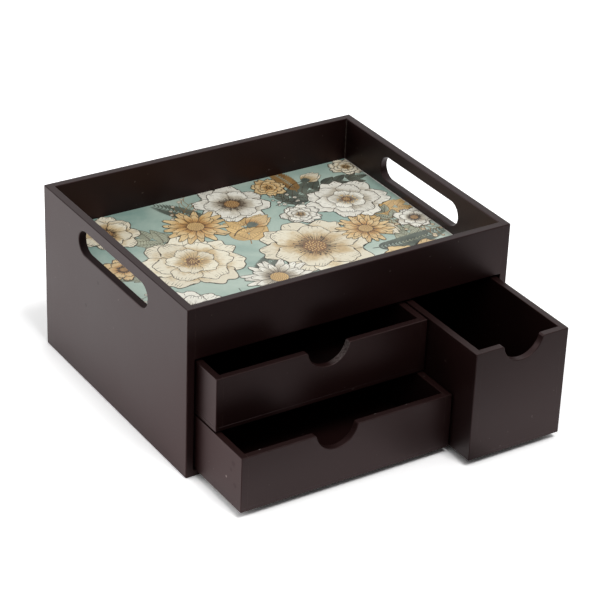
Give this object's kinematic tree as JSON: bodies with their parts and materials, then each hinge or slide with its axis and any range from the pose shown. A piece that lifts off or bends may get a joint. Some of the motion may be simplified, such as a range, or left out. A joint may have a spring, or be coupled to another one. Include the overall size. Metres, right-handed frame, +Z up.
{
  "type": "desk organizer tray with drawers",
  "caption": "Desk organizer: a shallow tray with hand slots in its sides over pull-out drawers with finger notches.",
  "frame": {"origin": "middle of the case's underside", "axes": "+X to the right along the front, +Y to the back, +Z up; the drawers pull out along -Y"},
  "size_m": [0.3, 0.334, 0.15],
  "materials": {
    "painted_board": "satin paint on fibreboard, dark brown",
    "thin_board": "matt paint on thin sheet, dark brown",
    "printed_sheet": "satin print of pale flowers on a dull teal ground",
    "brad_steel": "bright wire"
  },
  "bodies": {
    "case": {"left_side_panel": "painted_board", "right_side_panel": "painted_board", "front_rail": "painted_board", "back_panel": "painted_board", "bottom_panel": "painted_board", "tray_floor": "painted_board", "tray_print": "printed_sheet", "drawer_divider": "thin_board", "drawer_shelf": "thin_board", "case_brads": "brad_steel"},
    "upper_drawer": {"upper_drawer_front": "painted_board", "upper_drawer_back": "painted_board", "upper_drawer_left_side": "painted_board", "upper_drawer_right_side": "painted_board", "upper_drawer_base": "painted_board", "upper_drawer_brads": "brad_steel"},
    "lower_drawer": {"lower_drawer_front": "painted_board", "lower_drawer_back": "painted_board", "lower_drawer_left_side": "painted_board", "lower_drawer_right_side": "painted_board", "lower_drawer_base": "painted_board", "lower_drawer_brads": "brad_steel"},
    "tall_drawer": {"tall_drawer_front": "painted_board", "tall_drawer_back": "painted_board", "tall_drawer_left_side": "painted_board", "tall_drawer_right_side": "painted_board", "tall_drawer_base": "painted_board", "tall_drawer_brads": "brad_steel"}
  },
  "joints": [
    {"name": "upper_drawer_slide", "type": "slide", "parent": "case", "child": "upper_drawer", "axis": [0, -1, 0], "range_m": [-0.03, 0.14]},
    {"name": "lower_drawer_slide", "type": "slide", "parent": "case", "child": "lower_drawer", "axis": [0, -1, 0], "range_m": [-0.069, 0.101]},
    {"name": "tall_drawer_slide", "type": "slide", "parent": "case", "child": "tall_drawer", "axis": [0, -1, 0], "range_m": [-0.094, 0.076]}
  ]
}
